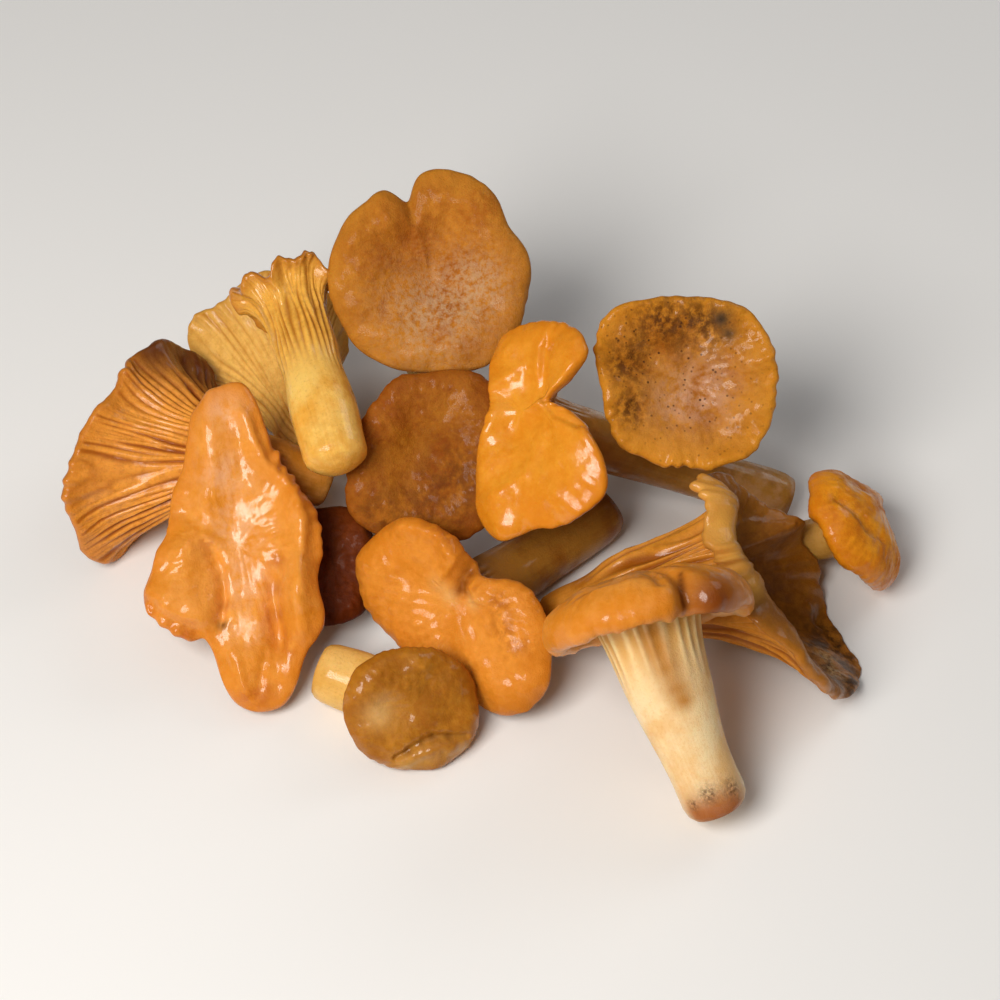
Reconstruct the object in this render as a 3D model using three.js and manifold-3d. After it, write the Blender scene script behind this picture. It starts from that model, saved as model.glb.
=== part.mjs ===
// A heap of chanterelle mushrooms, lying as tipped out on a flat surface. Millimetres, +Z up,
// with the origin at the middle of the heap's footprint, on the surface. Each mushroom is one
// closed body: a stem, ridges that run down from under the cap, and a cap with a wavy rim.
import * as THREE from "three";
import Module from "manifold-3d";

const wasm = await Module();
wasm.setup();
const { Manifold, Mesh } = wasm;
const { Vector3, Quaternion } = THREE;
const radians = THREE.MathUtils.degToRad;
const smooth = THREE.MathUtils.smoothstep;

// Shared by every mushroom
const SIDES_PER_RIDGE = 2;
const RIDGE_DEPTH = 1.1;
const CUT_EDGE = 0.82; // share of the foot's radius that the flat cut keeps
const HANDLE = 0.36; // how far the cap's faces run straight, as a share of their reach
const RISE_SHARE = 0.7; // how much of the flesh's depth the underside climbs straight from the neck
const FRILL_SWAY = 0.4; // how far a frill's waves go in and out, as a share of up and down
const DENT_START = 0.1; // where the cap's dents begin and are whole, from neck to rim
const DENT_WHOLE = 0.6;
const STEM_STATIONS = [0.05, 0.4, 0.75, 1];
const UNDER_STATIONS = [0.3, 0.6, 0.85, 1];
const TOP_STATIONS = [1, 0.78, 0.52, 0.24];
const HEAP_SHIFT = [0.6, 3.95, 0]; // brings the middle of the footprint to the origin

// The mushrooms. `at` is the middle of the cap's top, in the heap's frame, and the cap looks
// along `heading` (degrees from +X towards +Y), tilted `tilt` degrees from straight up.
// Round the rim, the values start on the low side of the tilted cap and are evenly spaced,
// anticlockwise as seen from above the cap. `rim` is the reach from the middle, `lift` the
// height above it, `roll` the margin's slope in degrees, negative where it turns down, and
// `curl` how far in from the rim that slope is felt, as a share of the cap's reach.
// `foot` is where the stem ends, seen from the cap's middle, with the cap looking up, and
// `bare` is the share of the stem, from its foot, that has no ridges.
// `dish` is how far the top sinks at the middle, `flesh` how deep the cap is there, `edge`
// how thick the rim is, `stem` the stem's radius at its foot, middle and neck, and `flare`
// how steeply the underside leaves the neck.
const mushrooms = [
  {
    name: "mushroom_high_round",
    colour: "#b9742a",
    at: [-12.5, 40.5, 55],
    heading: -90,
    tilt: 40,
    ridges: 20,
    rim: [20.5, 22, 22.5, 21.5, 20.5, 20.5, 18.5, 20.5, 21.5, 21, 19.5, 19.5, 20, 20.5, 21, 21, 21.5, 21],
    lift: [0.5, 1, 0, 1, 2, 1, 0, 1, 2, 1, 0, 0],
    roll: [-30],
    notches: [{ at: 198, width: 8, depth: 5 }],
    dish: 1,
    flesh: 6,
    edge: 3.4,
    foot: [21.5, 0, -55],
    stem: [7, 6, 7.5],
    flare: 0.3,
    dents: [{ at: [2, 2], size: [9, 8], depth: 1.2 }, { at: [-13, -9], size: [4, 4], depth: -1.2 }],
    bare: 0.75,
  },
  {
    name: "mushroom_stem_first",
    colour: "#d79a3c",
    at: [-42.5, 37, 47],
    heading: 105,
    tilt: 84,
    ridges: 20,
    rim: [10, 10.5, 12, 12, 11, 10, 10.5, 11, 10, 9.5, 10, 10],
    lift: [5, 4, 6, 7, 5, 4, 6, 5, 4, 6, 7, 5],
    roll: [15],
    dish: 2.5,
    flesh: 7,
    edge: 1.8,
    foot: [3, 0, -41],
    stem: [7.3, 7, 6.5],
    flare: 0.5,
    frill: { waves: 9, depth: 1.1 },
    bare: 0.6,
  },
  {
    name: "mushroom_pale_fan",
    colour: "#d8a044",
    at: [-44.2, 37.5, 16.5],
    heading: 108,
    tilt: 98,
    ridges: 22,
    rim: [14, 14.5, 15, 17, 21.5, 20, 22, 21, 18, 15, 14, 14],
    lift: [12, 12, 11, 11, 19, 18, 19, 16, 14, 12, 12, 12],
    roll: [40],
    dish: 2.5,
    flesh: 8.5,
    edge: 1.8,
    foot: [8, -14, -15],
    stem: [6, 6, 7],
    flare: 0.4,
    bare: 0.5,
  },
  {
    name: "mushroom_left_trumpet",
    colour: "#c07c26",
    at: [-65, 16.8, 20.6],
    heading: 154,
    tilt: 109,
    ridges: 24,
    rim: [10, 16, 26, 26.5, 24.5, 20, 18.5, 22, 24, 22, 15, 11],
    lift: [13, 16, 17, 17, 16.5, 15, 14, 14, 12, 9, 9, 11],
    roll: [30],
    dish: 4,
    flesh: 7,
    edge: 2.4,
    foot: [9, -5, -29],
    stem: [6, 6.2, 8],
    flare: 0.45,
    bare: 0.5,
  },
  {
    name: "mushroom_broad_flap",
    colour: "#de8e2c",
    at: [-54, -12, 25],
    heading: -90,
    tilt: 35,
    ridges: 24,
    rim: [
      33.5, 36, 28, 25, 19.5, 17.5, 17, 17, 17, 17, 18, 23.5,
      34, 31, 22, 18, 16, 15, 15.5, 17.5, 22.5, 23.5, 23, 22,
    ],
    lift: [-2, 0, 2, 0, 0, -1, 0, -2, -3, -1, 0, 0],
    roll: [-20],
    dish: 1,
    flesh: 5.5,
    edge: 2.6,
    foot: [6, 4, -25],
    stem: [6, 5.5, 6.5],
    flare: 0.3,
    dents: [
      { at: [10, -8], size: [9, 4], depth: 3 },
      { at: [-6, -6.5], size: [20, 3], depth: -1.5 },
      { at: [15, -13.5], size: [6, 6], depth: -2.5 },
      { at: [-5, 13], size: [10, 3], depth: -2.2 },
      { at: [22, 8.5], size: [10, 2.5], depth: 1.6 },
      { at: [10.7, 14], size: [5, 4], depth: -2.5 },
    ],
    bare: 0.6,
  },
  {
    name: "mushroom_brown_cap",
    colour: "#a8641e",
    at: [-14.5, 5.9, 35],
    heading: -90,
    tilt: 42,
    ridges: 20,
    rim: [18.5, 20, 20.5, 17, 16, 17.5, 19.5, 18, 15, 15, 13, 13, 14, 16.5, 19.5, 19],
    lift: [-2, -1, 0, 0, -1, -2, -1, 0, 0, -1, -1, -2],
    roll: [-35],
    dish: 1,
    flesh: 5,
    edge: 3,
    foot: [12, 0, -36.8],
    stem: [6, 5.5, 6.5],
    flare: 0.3,
    dents: [{ at: [4, 2], size: [7, 9], depth: 1.4 }],
    bare: 0.75,
  },
  {
    name: "mushroom_saddle_cap",
    colour: "#e59a2e",
    at: [7.2, 6.6, 47],
    heading: -141,
    tilt: 40,
    ridges: 22,
    rim: [
      16, 23, 27, 24.5, 25.5, 26.5, 26, 20.5, 13.5, 8.5, 7, 7.5,
      21, 20, 19.5, 19, 18, 14.5, 10, 7.5, 6.5, 7, 8, 11,
    ],
    lift: [-2, -3, -3, -2, 0, 0, -1, -3, -3, -2, 0, 0],
    roll: [-30],
    dish: 1.5,
    flesh: 5,
    edge: 2.6,
    foot: [-14.5, 30, -68],
    stem: [5.5, 6, 6],
    flare: 0.3,
    bare: 0.75,
  },
  {
    name: "mushroom_speckled_dish",
    colour: "#b8812f",
    at: [43.4, 14.5, 48],
    heading: -90,
    tilt: 40,
    ridges: 20,
    rim: [18, 19, 20, 19, 18.5, 19, 19, 18, 17, 18, 21, 20.5, 17.5, 18, 19, 18],
    lift: [3, 3, 3.5, 3, 3, 2.5, 3, 4, 3, 3, 3, 3],
    roll: [10],
    dish: 1,
    flesh: 5,
    edge: 2.4,
    foot: [9, 0, -54],
    stem: [6, 5.5, 7],
    flare: 0.35,
    bare: 0.7,
  },
  {
    name: "mushroom_small_right",
    colour: "#c87a24",
    at: [87.6, 3.4, 17.2],
    heading: 14,
    tilt: 56,
    ridges: 20,
    rim: [14, 14.4, 14, 13, 12.8, 13.2, 13.7, 14.2, 14.2, 13.6, 13.4, 14],
    lift: [-9, -9, -8, -8, -8, -8, -9, -9, -9, -8, -8, -9],
    roll: [-80],
    dish: 0,
    flesh: 5,
    edge: 4,
    foot: [-1.7, 7, -24.5],
    stem: [5, 4.5, 5],
    flare: 0.3,
    bare: 0.7,
  },
  {
    name: "mushroom_rolled_rim",
    colour: "#dc9236",
    at: [31.8, -34.9, 40.4],
    heading: 108,
    tilt: 57,
    ridges: 22,
    rim: [11, 13, 17, 20.5, 21, 21, 20.5, 21, 20.5, 19, 16, 12],
    lift: [-8, -8, -8.5, -8.5, -8, -8.5, -8, -9, -10, -10, -9, -8],
    roll: [-100],
    dish: -1.5,
    flesh: 8.5,
    edge: 4.8,
    foot: [8.2, -3.2, -49.8],
    stem: [7, 8.2, 11],
    flare: 0.6,
    bare: 0.55,
    notches: [{ at: 192, width: 7, depth: 4 }],
  },
  {
    name: "mushroom_folded_trumpet",
    colour: "#cf8c32",
    at: [52.4, -17.5, 22.8],
    heading: 14,
    tilt: 80,
    ridges: 22,
    rim: [26.5, 19.5, 12.5, 13.5, 19, 20.5, 17.5, 15.5, 19.7, 28.5, 32.5, 32],
    lift: [19, 19, 18, 12, 4, 0, -2, -2, 1, 7, 15, 20],
    roll: [40, 40, 40, 30, -20, -60, -75, -80, -60, -10, 30, 40],
    dish: 2,
    flesh: 18,
    edge: 2.6,
    foot: [8, 5, -40],
    stem: [6, 7, 10.5],
    flare: 0.35,
    frill: { waves: 7, depth: 0.9 },
    bare: 0.5,
    curl: [0.36, 0.36, 0.36, 0.36, 0.45, 0.6, 0.65, 0.7, 0.6, 0.4, 0.36, 0.36],
  },
  {
    name: "mushroom_notched_cap",
    colour: "#d27d24",
    at: [-7, -25, 20.2],
    heading: -118,
    tilt: 48,
    ridges: 22,
    rim: [17, 18.5, 23, 27, 25.5, 21.5, 18.5, 14.5, 8.5, 8, 9.5, 13.5, 17, 20.5, 22.5, 24, 22, 19, 16.5, 16],
    lift: [-4, -3, -2, -2, -2, -1, 0, 1, -1, -3, -4, -4],
    roll: [-55],
    dish: 0,
    flesh: 5,
    edge: 2.6,
    foot: [-23.5, 12, -45.8],
    stem: [7, 7.5, 7],
    flare: 0.3,
    bare: 0.75,
  },
  {
    name: "mushroom_front_button",
    colour: "#b4762c",
    at: [-15.4, -48.5, 14.5],
    heading: -70,
    tilt: 48,
    ridges: 20,
    rim: [14, 15, 15, 14, 13, 12, 11, 11, 12, 13, 13, 13, 13, 13],
    lift: [-5, -5, -5, -5, -4, -3, -3, -3, -3, -4, -5, -5],
    roll: [-75],
    dish: 0,
    flesh: 5,
    edge: 3,
    foot: [-9, -14.5, -20],
    stem: [6.5, 6.5, 6.5],
    flare: 0.3,
    dents: [{ at: [-1, -5], size: [4, 3.5], depth: 1.5 }],
    bare: 0.7,
  },
  {
    name: "mushroom_under_cap",
    colour: "#7c4310",
    at: [-34, -9.5, 15.5],
    heading: -90,
    tilt: 25,
    ridges: 20,
    rim: [13, 12, 9, 8, 9, 12, 12, 12, 12, 11, 11.5, 13],
    lift: [-2, -3, -3, -2, -1, -2, -3, -3, -3, -3, -3, -3],
    roll: [-60],
    dish: 0,
    flesh: 4,
    edge: 2.4,
    foot: [4, 0, -17],
    stem: [5, 5, 6],
    flare: 0.3,
    bare: 0.7,
  },
];

// The value `turn` degrees round the rim, on a smooth closed curve through the spaced values.
function roundTheRim(values, turn) {
  const place = (turn / 360) * values.length;
  const first = Math.floor(place);
  const f = place - first;
  const [a, b, c, d] = [-1, 0, 1, 2].map(
    (step) => values[(first + step + 2 * values.length) % values.length],
  );
  return (
    0.5 *
    (2 * b +
      (c - a) * f +
      (2 * a - 5 * b + 4 * c - d) * f * f +
      (3 * b - a - 3 * c + d) * f * f * f)
  );
}

// A notch's share of its depth, `turn` degrees round the rim.
function notchShare(notch, turn) {
  const apart = Math.abs(((turn - notch.at + 540) % 360) - 180);
  return Math.exp(-((apart / notch.width) ** 2));
}

// A point and direction on a cubic curve in the plane of reach and height.
function curveAt(points, t) {
  const s = 1 - t;
  const weights = [s * s * s, 3 * s * s * t, 3 * s * t * t, t * t * t];
  const slopes = [-3 * s * s, 3 * s * s - 6 * s * t, 6 * s * t - 3 * t * t, 3 * t * t];
  const mix = (w, axis) => points.reduce((sum, p, i) => sum + w[i] * p[axis], 0);
  const along = [mix(slopes, 0), mix(slopes, 1)];
  const length = Math.hypot(...along);
  return { at: [mix(weights, 0), mix(weights, 1)], along: along.map((v) => v / length) };
}

// The cap's section `turn` degrees round: its rim, and the curves of its two faces.
function capSection(m, turn) {
  const notches = m.notches ?? [];
  const cut = notches.reduce((sum, n) => sum + n.depth * notchShare(n, turn), 0);
  const { waves, depth } = m.frill ?? { waves: 0, depth: 0 };
  const wave = radians(waves * turn);
  const rim = [
    roundTheRim(m.rim, turn) - cut + FRILL_SWAY * depth * Math.cos(wave),
    roundTheRim(m.lift, turn) + depth * Math.sin(wave),
  ];
  const roll = radians(roundTheRim(m.roll, turn));
  const out = [Math.cos(roll), Math.sin(roll)];
  const up = [-out[1], out[0]];
  const shift = (p, way, by) => [p[0] + way[0] * by, p[1] + way[1] * by];
  const neck = [m.stem[2], -m.dish - m.flesh];
  const middle = [0, -m.dish];
  const under = shift(rim, up, -m.edge / 2);
  const over = shift(rim, up, m.edge / 2);
  const curl = roundTheRim(m.curl ?? [HANDLE], turn);
  const reach = Math.hypot(under[0] - neck[0], under[1] - neck[1]);
  const rise = Math.min(m.flare * reach, RISE_SHARE * m.flesh);
  const span = Math.hypot(over[0], over[1] - middle[1]);
  return {
    rim: shift(rim, out, m.edge / 2),
    underside: [neck, [neck[0], neck[1] + rise], shift(under, out, -curl * reach), under],
    topside: [middle, [HANDLE * span, middle[1]], shift(over, out, -curl * span), over],
  };
}

function turned(turn, reach, height) {
  return new Vector3(reach * Math.cos(radians(turn)), reach * Math.sin(radians(turn)), height);
}

// A point on the stem's side, with t from 0 at the foot to 1 at the neck.
function stemPoint(m, t, turn, radiusShare, relief) {
  const neck = new Vector3(0, 0, -m.dish - m.flesh);
  const foot = new Vector3(...m.foot);
  const knee = new Vector3(0, 0, (neck.z + foot.z) / 2);
  const spine = new THREE.QuadraticBezierCurve3(foot, knee, neck);
  const lean = new Quaternion().setFromUnitVectors(new Vector3(0, 0, 1), spine.getTangent(t));
  const [low, middle, high] = m.stem;
  const radius = (1 - t) ** 2 * low + 2 * t * (1 - t) * middle + t * t * high;
  return turned(turn, radius * radiusShare + relief, 0).applyQuaternion(lean).add(spine.getPoint(t));
}

// How far a dent or bump moves a point of the cap.
function dented(m, point, share) {
  for (const dent of m.dents ?? []) {
    const far = Math.hypot(
      (point.x - dent.at[0]) / dent.size[0],
      (point.y - dent.at[1]) / dent.size[1],
    );
    point.z -= share * dent.depth * Math.exp(-(far ** 2));
  }
  return point;
}

function undersidePoint(m, u, turn, relief) {
  const { at, along } = curveAt(capSection(m, turn).underside, u);
  const point = turned(turn, at[0] + along[1] * relief, at[1] - along[0] * relief);
  return dented(m, point, smooth(u, DENT_START, DENT_WHOLE));
}

function topsidePoint(m, w, turn) {
  const { at } = curveAt(capSection(m, turn).topside, w);
  return dented(m, turned(turn, at[0], at[1]), 1);
}

function rimPoint(m, turn) {
  return dented(m, turned(turn, ...capSection(m, turn).rim), 1);
}

// The rings of points from the cut foot, up the stem, out under the cap and in over its top.
// Every second side is a ridge's crest, and the ridges fade out down the stem and at the rim.
function ringsOf(m) {
  const sides = m.ridges * SIDES_PER_RIDGE;
  const ring = (pointAt) =>
    Array.from({ length: sides }, (_, i) => pointAt((i * 360) / sides, i % 2 ? -0.5 : 0.5));
  const fade = (t) => smooth(t, m.bare, 1);
  return [
    ring((turn) => stemPoint(m, 0, turn, CUT_EDGE, 0)),
    ...STEM_STATIONS.map((t) =>
      ring((turn, side) => stemPoint(m, t, turn, 1, side * RIDGE_DEPTH * fade(t))),
    ),
    ...UNDER_STATIONS.map((u) =>
      ring((turn, side) => undersidePoint(m, u, turn, side * RIDGE_DEPTH * (1 - u ** 4))),
    ),
    ring((turn) => rimPoint(m, turn)),
    ...TOP_STATIONS.map((w) => ring((turn) => topsidePoint(m, w, turn))),
  ];
}

// A mushroom's closed skin, in its own frame, with the cap looking up.
function skinOf(m) {
  const rings = ringsOf(m);
  const sides = rings[0].length;
  const points = [stemPoint(m, 0, 0, 0, 0), ...rings.flat(), topsidePoint(m, 0, 0)];
  const corner = (ring, side) => 1 + ring * sides + (side % sides);
  const faces = [];
  for (let side = 0; side < sides; side++) {
    faces.push(0, corner(0, side + 1), corner(0, side));
    for (let ring = 0; ring + 1 < rings.length; ring++) {
      const [a, b] = [corner(ring, side), corner(ring, side + 1)];
      const [c, d] = [corner(ring + 1, side), corner(ring + 1, side + 1)];
      faces.push(a, b, d, a, d, c);
    }
    faces.push(corner(rings.length - 1, side), corner(rings.length - 1, side + 1), points.length - 1);
  }
  return new THREE.BufferGeometry().setFromPoints(points).setIndex(faces);
}

// The mushroom laid in the heap. Where it presses on the surface it is flattened there.
function laidMushroom(m) {
  const mesh = new THREE.Mesh();
  mesh.name = m.name;
  mesh.material = new THREE.MeshStandardMaterial({ color: m.colour, roughness: 0.45, metalness: 0 });
  mesh.position.set(...m.at);
  mesh.rotation.set(0, radians(m.tilt), radians(m.heading), "ZYX");
  const upwards = new Vector3(0, 0, 1).applyQuaternion(mesh.quaternion.clone().invert());
  const skin = skinOf(m);
  const whole = new Manifold(
    new Mesh({
      numProp: 3,
      vertProperties: skin.attributes.position.array,
      triVerts: new Uint32Array(skin.index.array),
    }),
  );
  const { vertProperties, triVerts } = whole.trimByPlane(upwards.toArray(), -m.at[2]).getMesh();
  mesh.geometry.setAttribute("position", new THREE.BufferAttribute(vertProperties, 3));
  mesh.geometry.setIndex(new THREE.BufferAttribute(triVerts, 1));
  mesh.geometry.computeVertexNormals();
  return mesh;
}

const heap = new THREE.Group();
heap.position.set(...HEAP_SHIFT);
heap.add(...mushrooms.map(laidMushroom));

export default heap;
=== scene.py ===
import math

import bpy
import numpy as np
from mathutils import Matrix, Vector


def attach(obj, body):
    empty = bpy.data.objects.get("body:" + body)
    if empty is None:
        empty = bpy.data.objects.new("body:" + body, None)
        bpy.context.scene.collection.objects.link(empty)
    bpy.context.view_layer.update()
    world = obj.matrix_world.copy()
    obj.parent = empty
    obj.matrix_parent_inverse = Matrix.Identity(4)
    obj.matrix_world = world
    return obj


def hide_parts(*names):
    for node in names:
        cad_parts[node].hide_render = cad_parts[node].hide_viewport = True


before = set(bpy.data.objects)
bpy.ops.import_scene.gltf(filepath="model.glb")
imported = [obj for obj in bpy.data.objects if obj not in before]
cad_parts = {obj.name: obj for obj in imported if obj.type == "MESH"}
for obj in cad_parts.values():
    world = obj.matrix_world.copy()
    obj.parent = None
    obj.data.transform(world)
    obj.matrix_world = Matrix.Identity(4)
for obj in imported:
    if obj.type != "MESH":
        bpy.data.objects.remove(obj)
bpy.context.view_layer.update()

# The camera looks down on the heap at the photo's angle, through a long lens.
# Lengths are in millimetres in the heap's own frame until they go to Blender, in metres.
MM = 0.001
HEAP_SHIFT = Vector((0.6, 3.95, 0))
LOOK_AT = Vector((3, 0, 25))
LOOK_DOWN = math.radians(50)
CAMERA_DISTANCE = 700
HALF_FRAME = 110  # half of the picture's width, at the point looked at
SENSOR_WIDTH = 36

towards_camera = Vector((0, -math.cos(LOOK_DOWN), math.sin(LOOK_DOWN)))
camera = bpy.data.objects.new("camera", bpy.data.cameras.new("camera"))
bpy.context.scene.collection.objects.link(camera)
camera.location = (LOOK_AT + HEAP_SHIFT + towards_camera * CAMERA_DISTANCE) * MM
camera.rotation_euler = (math.pi / 2 - LOOK_DOWN, 0, 0)
camera.data.sensor_width = SENSOR_WIDTH
camera.data.lens = SENSOR_WIDTH / 2 * CAMERA_DISTANCE / HALF_FRAME
camera.data.clip_start = 0.05
camera.data.clip_end = 20
bpy.context.scene.camera = camera


# The table under the heap is plain and pale, with a matt top, and carries no part of the object.
# The light is a soft box high in front on the left, weaker ones behind on the right and overhead,
# and a dim pale room. All of them are placed and measured in metres.
class Value:
    """A number or colour that flows between a material's nodes, with Python's own arithmetic."""

    def __init__(self, board, socket):
        self.board = board
        self.socket = socket

    def math(self, operation, other, turned=False):
        pair = (other, self) if turned else (self, other)
        return self.board.node("ShaderNodeMath", {"operation": operation}, dict(enumerate(pair)))

    def __add__(self, other):
        return self.math("ADD", other)

    def __sub__(self, other):
        return self.math("SUBTRACT", other)

    def __mul__(self, other):
        return self.math("MULTIPLY", other)

    def __pow__(self, other):
        return self.math("POWER", other)

    def __rsub__(self, other):
        return self.math("SUBTRACT", other, turned=True)

    __radd__ = __add__
    __rmul__ = __mul__

    def between(self, low, high):
        """0 below low and 1 above high, with a smooth step between them."""
        settings = {"interpolation_type": "SMOOTHSTEP"}
        return self.board.node("ShaderNodeMapRange", settings, dict(enumerate((self, low, high, 0, 1))))


def paint(code):
    """A colour from its web code, as Blender's linear red, green, blue and alpha."""
    shares = [int(code[place : place + 2], 16) / 255 for place in (1, 3, 5)]
    linear = [s / 12.92 if s <= 0.04045 else ((s + 0.055) / 1.055) ** 2.4 for s in shares]
    return (*linear, 1)


class Board:
    """One material's nodes. A socket is fed with a Value, a number, or a colour's web code."""

    def __init__(self, name):
        self.material = bpy.data.materials.new(name)
        self.material.use_nodes = True
        self.tree = self.material.node_tree
        self.skin = self.tree.nodes["Principled BSDF"]

    def node(self, kind, settings, sockets, out=0):
        made = self.tree.nodes.new(kind)
        for key, value in settings.items():
            setattr(made, key, value)
        for place, value in sockets.items():
            self.feed(made.inputs[place], value)
        return Value(self, made.outputs[out])

    def feed(self, socket, value):
        if isinstance(value, Value):
            self.tree.links.new(value.socket, socket)
        else:
            socket.default_value = paint(value) if isinstance(value, str) else value

    def mix(self, share, first, second):
        """A colour that goes from first to second as share goes from 0 to 1."""
        settings = {"data_type": "RGBA", "clamp_factor": True}
        return self.node("ShaderNodeMix", settings, {0: share, 6: first, 7: second}, out=2)

    def field(self, name, out="Fac"):
        """What was worked out for each point of the mesh under that name."""
        return self.node("ShaderNodeAttribute", {"attribute_name": name}, {}, out)

    def noise(self, where, scale, detail=3, roughness=0.55):
        settings = {"noise_dimensions": "3D"}
        sockets = {"Vector": where, "Scale": scale, "Detail": detail, "Roughness": roughness}
        return self.node("ShaderNodeTexNoise", settings, sockets)

    def set(self, **values):
        for name, value in values.items():
            self.feed(self.skin.inputs[name.replace("_", " ").title()], value)


def area_light(name, place, side, watts, colour):
    light = bpy.data.lights.new(name, "AREA")
    light.shape = "RECTANGLE"
    light.size, light.size_y = side, side
    light.energy = watts
    light.color = paint(colour)[:3]
    lamp = bpy.data.objects.new(name, light)
    bpy.context.scene.collection.objects.link(lamp)
    lamp.location = place
    lamp.rotation_euler = (-Vector(place)).to_track_quat("-Z", "Y").to_euler()


FLOOR_HALF = 4
ROOM_LIGHT = 0.07

bpy.ops.mesh.primitive_plane_add(size=2 * FLOOR_HALF, location=(0, 0, 0))
floor = bpy.context.object
floor.name = "floor"
table_top = Board("table_top")
table_top.set(base_color="#f1f1f0", roughness=0.75)
floor.data.materials.append(table_top.material)

area_light("key", (-0.3, -0.42, 0.62), 0.4, 6.3, "#fffaf4")
area_light("back", (0.5, 0.4, 0.5), 0.4, 0.9, "#ffffff")
area_light("overhead", (0.0, 0.1, 0.95), 0.9, 0.7, "#ffffff")
world = bpy.data.worlds.new("room")
world.use_nodes = True
world.node_tree.nodes["Background"].inputs["Color"].default_value = paint("#ffffff")
world.node_tree.nodes["Background"].inputs["Strength"].default_value = ROOM_LIGHT
bpy.context.scene.world = world
bpy.context.scene.view_settings.view_transform = "Standard"


# The high round mushroom, at the back of the heap, is one piece of firm flesh with a smooth skin, matt
# and pale in the middle. It stands on its curved stem and leans its cap towards the viewer. Its form is
# the one that every mushroom here grows in, each with its own measures.
STEM_RINGS = 30
UNDER_RINGS = 34
EDGE_RINGS = 5
TOP_RINGS = 26
TOP_CROWDING = 0.8  # under 1, to set the rings closer towards the rim
CUT_EDGE = 0.82  # the flat of the cut foot, as a share of the stem
FOOT_SHARES = (0.3, 0.6, CUT_EDGE)
FOOT_BEVEL = 0.94
FOOT_BEVEL_AT = 0.025
FOOT_BULGE = 0.7
HANDLE = 0.36  # how long the curve of a face holds its first direction, as a share of its length
RISE_SHARE = 0.7  # of the flesh, the most that the neck takes to flare out into the cap
FRILL_REACH = 0.4  # how far a frill waves outwards, as a share of its wave up and down
RAGGED_FROM = 3  # the powers by which unevenness fades inwards from the rim
CRINKLED_FROM = 9
SLOW_WAVES = (5, 15)  # round the rim
FINE_WAVES = (18, 50)
SWELLING = 0.3
RIDGE_DEPTH = 1.1
RIDGE_WIDTH = 0.82
PROGRESS_AT_NECK = 0.3  # from 0, where the ridges start on the stem, to 1 at the rim
FORKS_BETWEEN, TWIGS_BETWEEN = (0.3, 0.6), (0.5, 1.3)  # in the same progress
RIDGE_SHARES = (0.65, 1.05)
LUMPS = (7, 0.35, 0.9)  # how many waves cross the cap, and their lowest and highest pitch
PIMPLES = (24, 1.2, 4)
THINNEST = 1.0  # flesh that is pressed flat on the table


def smooth(value, low, high):
    """0 below low and 1 above high, with a smooth step between them."""
    share = np.clip((value - low) / (high - low), 0, 1)
    return share * share * (3 - 2 * share)


def round_the_rim(values, turn):
    """The value at that many degrees round the rim, on a smooth closed curve."""
    values = np.asarray(values, float)
    place = (turn / 360) * len(values)
    first = np.floor(place).astype(int)
    f = place - first
    a, b, c, d = (values[(first + step) % len(values)] for step in (-1, 0, 1, 2))
    square = (2 * a - 5 * b + 4 * c - d) * f**2
    cube = (3 * b - a - 3 * c + d) * f**3
    return 0.5 * (2 * b + (c - a) * f + square + cube)


def ripples(seed, turn, first, last, depth):
    """Small seeded waves round the rim."""
    draw = np.random.default_rng(seed)
    total = np.zeros_like(turn)
    for waves in range(first, last):
        start = draw.uniform(0, 2 * np.pi)
        total += draw.uniform(0.3, 1) * np.cos(np.radians(turn) * waves + start)
    return depth * total / math.sqrt(last - first)


def rim_at(m, turn):
    """The middle of the rim at each turn: how far out it is, and how high."""
    frill = m.get("frill", {"waves": 0, "depth": 0})
    cut = 0
    for notch in m.get("notches", []):
        apart = np.abs((turn - notch["at"] + 540) % 360 - 180)
        cut = cut + notch["depth"] * np.exp(-((apart / notch["width"]) ** 2))
    wave = np.radians(frill["waves"] * turn)
    reach = round_the_rim(m["rim"], turn) - cut + FRILL_REACH * frill["depth"] * np.cos(wave)
    lift = round_the_rim(m["lift"], turn) + frill["depth"] * np.sin(wave)
    return np.array([reach, lift])


def unevenness(m, turn):
    """How far the rim wanders: in slow waves, and in fine ones that come and go round it."""
    ragged = [ripples(m["seed"] + i, turn, *SLOW_WAVES, m.get("ragged", 0.22)) for i in (0, 1)]
    crinkle = round_the_rim(np.atleast_1d(m.get("crinkle", 0.1)), turn)
    crinkled = [ripples(m["seed"] + i, turn, *FINE_WAVES, 1) * crinkle for i in (8, 9)]
    here_and_there = smooth(ripples(m["seed"] + 10, turn, 1, 8, 1), -0.5, 0.7)
    return np.array(ragged), np.array(crinkled) * (0.25 + 1.1 * here_and_there)


def cap_section(m, turn):
    """The rim and the curves of both faces, for each turn: reach first, then height."""
    rim = rim_at(m, turn)
    ragged, crinkled = unevenness(m, turn)
    roll = np.radians(round_the_rim(m["roll"], turn))
    out = np.array([np.cos(roll), np.sin(roll)])
    up = np.array([-out[1], out[0]])
    ones = np.ones_like(turn)
    neck = np.array([m["stem"][2] * ones, -(m["dish"] + m["flesh"]) * ones])
    middle = np.array([0 * ones, -m["dish"] * ones])
    under, over = rim - up * m["edge"] / 2, rim + up * m["edge"] / 2
    curl = round_the_rim(m.get("curl", [HANDLE]), turn)
    length = np.hypot(*(under - neck))
    rise = np.minimum(m["flare"] * length, RISE_SHARE * m["flesh"])
    span = np.hypot(*(over - middle))
    return {
        "rim": rim,
        "out": out,
        "up": up,
        "below": [neck, neck + np.array([0 * ones, rise]), under - out * curl * length, under],
        "above": [middle, middle + np.array([HANDLE * span, 0 * ones]), over - out * curl * span, over],
        "ragged": ragged,
        "crinkled": crinkled,
        "crinkled_from": m.get("crinkled_from", CRINKLED_FROM),
    }


def uneven(cap, share):
    """How far the skin wanders from the smooth section, that share of the way to the rim."""
    return cap["ragged"] * share**RAGGED_FROM + cap["crinkled"] * share ** cap["crinkled_from"]


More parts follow.
